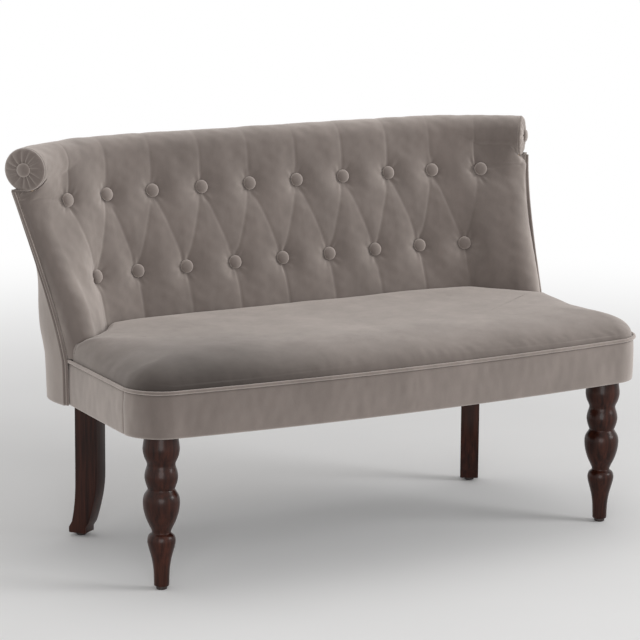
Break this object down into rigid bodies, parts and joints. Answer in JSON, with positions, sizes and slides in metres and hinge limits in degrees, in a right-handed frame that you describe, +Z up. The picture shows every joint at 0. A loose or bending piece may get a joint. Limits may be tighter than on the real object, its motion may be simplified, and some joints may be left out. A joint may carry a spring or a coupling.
{
  "type": "high back settee",
  "caption": "Upholstered settee with a buttoned back that rolls over at the top and wraps forward into short wings, a crowned and piped seat, turned front legs and sabre rear legs",
  "frame": {"origin": "on the floor, under the middle of the whole piece's length and depth", "axes": "+X along the settee to the right as seen from the front, +Z up, -Y out of the seat to the front"},
  "size_m": [1.1286, 0.6019, 0.725],
  "materials": {
    "velvet": "short cut pile, grey taupe",
    "velvet_trim": "short cut pile over cord and button moulds",
    "leg_wood": "dark stain under gloss varnish",
    "frame_wood": "planed, unfinished",
    "board": "thin hardboard",
    "jute": "plain woven jute",
    "dust_cloth": "black bonded cloth",
    "steel": "zinc plated",
    "glide": "off-white nail-on glide"
  },
  "bodies": {
    "root": {"front_leg_left": "leg_wood", "front_leg_right": "leg_wood", "rear_leg_left": "leg_wood", "rear_leg_right": "leg_wood", "front_glide_left": "glide", "front_glide_right": "glide", "rear_glide_left": "glide", "rear_glide_right": "glide", "leg_bolts": "steel", "leg_nuts": "steel", "front_rail": "frame_wood", "rear_rail": "frame_wood", "centre_rail": "frame_wood", "side_rail_left": "frame_wood", "side_rail_right": "frame_wood", "front_block_left": "frame_wood", "front_block_right": "frame_wood", "rear_block_left": "frame_wood", "rear_block_right": "frame_wood", "frame_dowels": "frame_wood", "seat_springs": "steel", "spring_clips": "steel", "seat_hessian": "jute", "seat_pad": "velvet", "seat_piping": "velvet_trim", "border_front": "velvet", "border_left": "velvet", "border_right": "velvet", "dust_cover": "dust_cloth", "back_lower_rib": "frame_wood", "back_top_rail": "frame_wood", "back_post_far_left": "frame_wood", "back_post_near_left": "frame_wood", "back_post_near_right": "frame_wood", "back_post_far_right": "frame_wood", "corner_post_left": "frame_wood", "corner_post_right": "frame_wood", "wing_post_left": "frame_wood", "wing_post_right": "frame_wood", "back_bolts": "steel", "back_nuts": "steel", "back_straps": "jute", "back_hessian": "jute", "back_pad": "velvet", "top_roll": "velvet", "wing_pad_left": "velvet", "wing_pad_right": "velvet", "scroll_face_left": "velvet", "scroll_face_right": "velvet", "wing_piping_left": "velvet_trim", "wing_piping_right": "velvet_trim", "upper_buttons": "velvet_trim", "lower_buttons": "velvet_trim", "scroll_buttons": "velvet_trim", "back_board": "board", "outer_cover": "velvet"}
  },
  "joints": []
}
